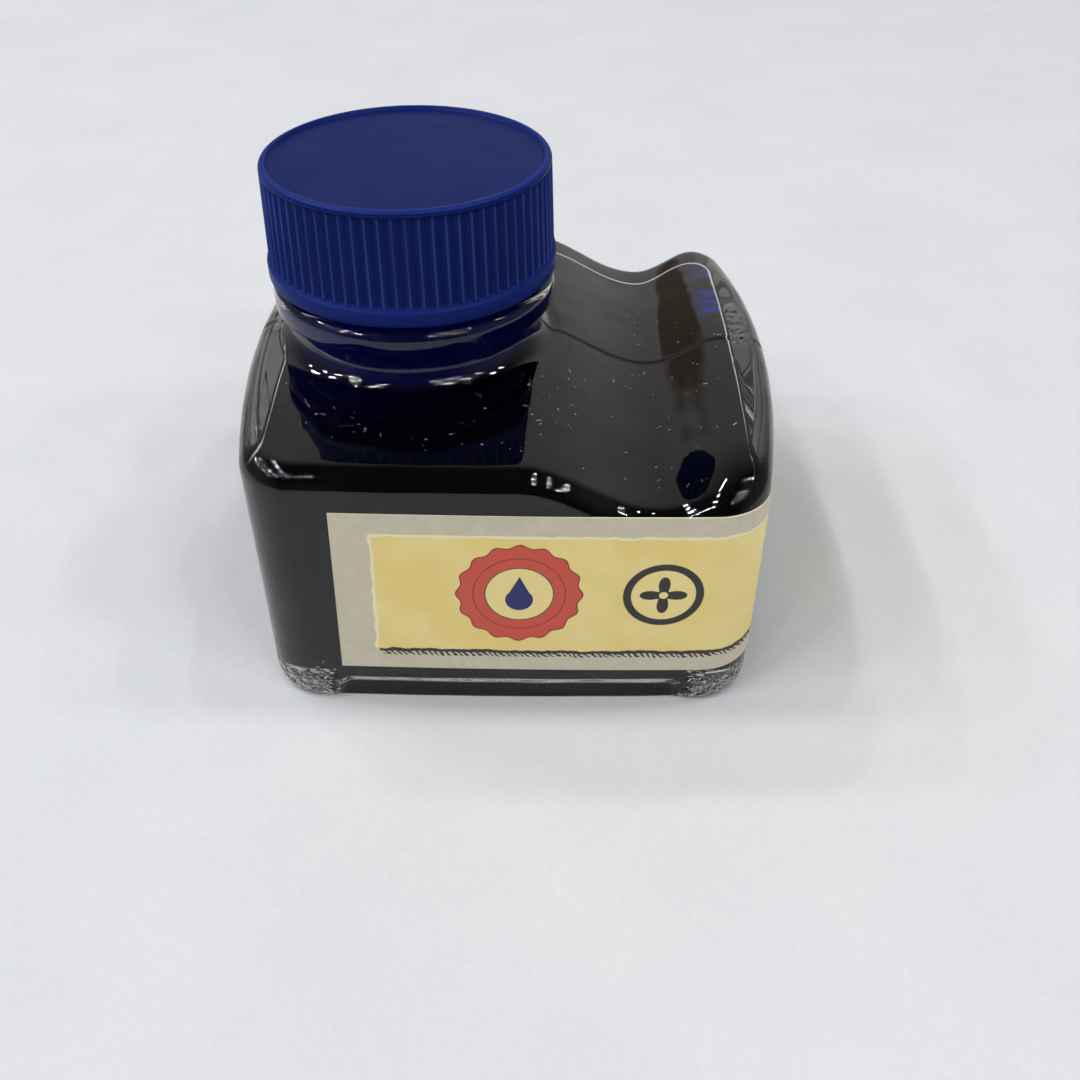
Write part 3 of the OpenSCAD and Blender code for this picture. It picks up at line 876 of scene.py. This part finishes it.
def place_of(test, low, high):
    """The place on the outline where the test stops being true, closed in on by halves."""
    halvings = 60
    for _ in range(halvings):
        middle = (low + high) / 2
        if test(outer_outline.at(middle)):
            low = middle
        else:
            high = middle
    return low


# The label starts on the left half of the front (places 8-9), passes the right corner, and ends on
# the rear half of the right end (places 12-13)
path_start = place_of(lambda at: at[0] < label_left, 8.0, 9.0)
path_finish = place_of(lambda at: at[1] < label_rear, 12.0, 13.0)


def path_point(place):
    """A point of the skin under the label, with its outward direction."""
    x, y = outer_outline.at(place % 12, -glue_t)
    out_x, out_y = outer_outline.at(place % 12, -glue_t - 1)
    return x, y, out_x - x, out_y - y


path_steps = 600
path_fine = [path_start + (path_finish - path_start) * k / path_steps for k in range(path_steps + 1)]
path_length = [0.0]
for a, b in zip(path_fine, path_fine[1:]):
    ax, ay = path_point(a)[:2]
    bx, by = path_point(b)[:2]
    path_length.append(path_length[-1] + math.hypot(bx - ax, by - ay))
label_length = path_length[-1]
label_height = label_high.z - label_low.z


def place_along(distance):
    for k in range(path_steps):
        if path_length[k + 1] >= distance:
            part = (distance - path_length[k]) / (path_length[k + 1] - path_length[k])
            return path_fine[k] + part * (path_fine[k + 1] - path_fine[k])
    return path_fine[-1]


# It was glued on by hand: its left edge leans, and the front droops a little towards the corner
lean, droop = 0.4, 0.42
bm = bmesh.new()
bm.loops.layers.uv.new("Print")
bmesh.ops.create_grid(bm, x_segments=150, y_segments=12, size=0.5, calc_uvs=True)
for v in bm.verts:
    along, up = v.co.x + 0.5, v.co.y + 0.5
    leant = lean * (2 * up - 1) * (1 - along)
    x, y, out_x, out_y = path_point(place_along(along * label_length + leant))
    z = label_low.z + up * label_height + droop * (0.4 - swell(along / 0.6))
    v.co = (x + out_x * paper_t, y + out_y * paper_t, z)
bmesh.ops.scale(bm, vec=(MM, MM, MM), verts=bm.verts)
for face in bm.faces:
    face.smooth = True
for edge in bm.edges:
    edge.smooth = not edge.is_boundary
label_mesh = bpy.data.meshes.new("paper_label")
bm.to_mesh(label_mesh)
bm.free()

# A round motif: a disc whose edge swells in lobes. Lengths are in millimetres.
motif, wiring, given, result = new_group(
    "Lobed disc",
    {"Place": ("Vector", None), "Centre": ("Vector", None), "Radius": ("Float", 5.0),
     "Lobes": ("Float", 0.0), "Swell": ("Float", 0.0)},
    {"Mask": "Float", "Distance": "Float"})
offset = wiring.node("VectorMath", operation="SUBTRACT")
wiring.feed(offset.inputs[0], given["Place"])
wiring.feed(offset.inputs[1], given["Centre"])
flat = wiring.node("SeparateXYZ")
wiring.feed(flat.inputs[0], offset.outputs[0])
distance = wiring.math("SQRT", wiring.math("ADD", wiring.math("POWER", flat.outputs["X"], 2.0),
                                           wiring.math("POWER", flat.outputs["Y"], 2.0)))
turn = wiring.math("ARCTAN2", flat.outputs["Y"], flat.outputs["X"])
lobes = wiring.math("MULTIPLY", wiring.math("COSINE", wiring.math("MULTIPLY", turn, given["Lobes"])),
                    given["Swell"])
edge = wiring.math("ADD", given["Radius"], lobes)
inside = wiring.math("SUBTRACT", edge, distance)
wiring.feed(result["Mask"], wiring.between(inside, -0.04, 0.04))
wiring.feed(result["Distance"], inside)

paper, wiring, shader, place = new_material("Printed paper")
uv = wiring.node("UVMap")
stretch = wiring.node("Mapping")
stretch.inputs["Scale"].default_value = (label_length, label_height, 1)
wiring.feed(stretch.inputs["Vector"], uv.outputs["UV"])
page = stretch.outputs[0]
flat = wiring.node("SeparateXYZ")
wiring.feed(flat.inputs[0], page)
across, up = flat.outputs["X"], flat.outputs["Y"]


def band(value, low, high, soft=0.05):
    """1 between low and high."""
    rise = wiring.between(value, low - soft, low + soft)
    fall = wiring.between(value, high - soft, high + soft, 1.0, 0.0)
    return wiring.math("MULTIPLY", rise, fall)


def box_mask(left, low, right, high, soft=0.05):
    return wiring.math("MULTIPLY", band(across, left, right, soft), band(up, low, high, soft))


def over(base, mask, color):
    return wiring.mix(mask, base, color)


def disc_mask(x, y, r, lobes=0.0, swelling=0.0):
    made = wiring.group(motif, Place=page, Centre=(x, y, 0), Radius=r, Lobes=lobes, Swell=swelling)
    return made["Mask"], made["Distance"]


grey_paper = (0.56, 0.51, 0.39, 1)
cream = (0.82, 0.64, 0.22, 1)
cream_pale = (0.85, 0.70, 0.29, 1)
dark_ink = (0.035, 0.03, 0.028, 1)
seal_red = (0.60, 0.085, 0.055, 1)
seal_line, seal_shade = (0.17, 0.03, 0.02, 1), (0.30, 0.04, 0.025, 1)
drop_blue = (0.02, 0.025, 0.14, 1)
rim_cream = (0.84, 0.78, 0.50, 1)

fibre = wiring.noise(place, 700.0, 4.0, 0.65)
base = wiring.mix(wiring.between(fibre, 0.3, 0.7), grey_paper, (0.61, 0.56, 0.43, 1))
panel_left, panel_low, panel_high = 4.2, 3.1, label_height - 2.6
panel_right = label_length - 4.0
tone = wiring.mix(wiring.between(wiring.noise(page, 0.12, 2.0), 0.35, 0.65), cream, cream_pale)
# The panel has a deckle edge, like handmade paper: it wanders, and its rim is paler
deckle = wiring.math("SUBTRACT", wiring.noise(page, 0.45, 4.0, 0.6), 0.5)
plain_across, plain_up = across, up
across = wiring.math("ADD", across, wiring.math("MULTIPLY", deckle, 1.3))
up = wiring.math("ADD", up, wiring.math("MULTIPLY", deckle, 0.9))
base = over(base, box_mask(panel_left, panel_low, panel_right, panel_high), rim_cream)
rim = 0.35
base = over(base, box_mask(panel_left + rim, panel_low, panel_right - rim, panel_high - rim), tone)
# Ground line: a dark band under the panel with slanting hatches below it
hatch_wave = wiring.math("SINE", wiring.math("MULTIPLY", wiring.math("ADD", across, up), 9.0))
hatch_edge = wiring.between(up, panel_low - 1.05, panel_low - 0.95)
hatch = wiring.math("MULTIPLY", box_mask(panel_left + 0.8, panel_low - 1.6, panel_right, panel_low),
                    wiring.between(hatch_wave, -0.1, 0.3))
base = over(base, wiring.math("MULTIPLY", hatch, hatch_edge), dark_ink)
base = over(base, box_mask(panel_left + 0.4, panel_low - 0.45, panel_right, panel_low + 0.05), dark_ink)
across, up = plain_across, plain_up
# Red seal with a lobed edge, a cream field and a dark drop
seal_x, middle = 20.5, (panel_low + panel_high) / 2 + 0.2
seal_r, seal_lobes, lobe_height, outline_w = 6.75, 16.0, 0.22, 0.15
inner_line_r, inner_line_w, field_r, field_line_w = 5.2, 0.14, 3.9, 0.16
base = over(base, disc_mask(seal_x, middle, seal_r + outline_w, seal_lobes, lobe_height)[0], seal_line)
base = over(base, disc_mask(seal_x, middle, seal_r, seal_lobes, lobe_height)[0], seal_red)
base = over(base, band(disc_mask(seal_x, middle, inner_line_r)[1], 0.0, inner_line_w), seal_shade)
field_mask, field_depth = disc_mask(seal_x, middle, field_r)
base = over(base, field_mask, cream_pale)
base = over(base, band(field_depth, 0.0, field_line_w), dark_ink)
# The drop is a round end under two straight flanks that meet in a tip
drop_r, drop_z, tip_z, tip_slope = 1.55, middle - 0.8, middle + 2.7, 2.1
drop_round = disc_mask(seal_x, drop_z, drop_r)[0]
aside = wiring.math("ABSOLUTE", wiring.math("SUBTRACT", across, seal_x))
taper = wiring.math("SUBTRACT", drop_r - 0.1, aside)
slope = wiring.math("SUBTRACT", wiring.math("MULTIPLY", taper, tip_slope),
                    wiring.math("SUBTRACT", up, middle - 0.45))
drop_tip = wiring.math("MULTIPLY", wiring.between(slope, -0.05, 0.05), band(up, middle - 0.5, tip_z))
base = over(base, wiring.math("MAXIMUM", drop_round, drop_tip), drop_blue)
# Dark ring with four petals round a pale eye
ring_x, ring_r, ring_w = 36.5, 4.5, 0.9
petal_r, petals, petal_reach, eye_r = 1.7, 4.0, 0.95, 0.5
ring_mask, ring_depth = disc_mask(ring_x, middle, ring_r)
base = over(base, ring_mask, cream_pale)
base = over(base, band(ring_depth, 0.0, ring_w), dark_ink)
base = over(base, disc_mask(ring_x, middle, petal_r, petals, petal_reach)[0], dark_ink)
base = over(base, disc_mask(ring_x, middle, eye_r)[0], cream_pale)
wiring.feed(shader.inputs["Base Color"], base)
wiring.feed(shader.inputs["Roughness"], wiring.between(fibre, 0.2, 0.8, 0.42, 0.58))
shader.inputs["Specular IOR Level"].default_value = 0.4
cockle = wiring.group(relief, Place=place, Broad=0.00006, Broad_Size=160.0,
                      Fine=0.000012, Fine_Size=1800.0)
wiring.feed(shader.inputs["Normal"], wiring.bump(cockle["Height"]))

label_piece = new_piece(label_mesh, paper, "bottle", "label")
thickness = label_piece.modifiers.new("Paper thickness", "SOLIDIFY")
thickness.thickness = paper_t * MM
thickness.offset = -1


# ---------------------------------------------------------------- Finish
# The colours are shown through the standard view transform.
bpy.context.scene.view_settings.view_transform = "Standard"
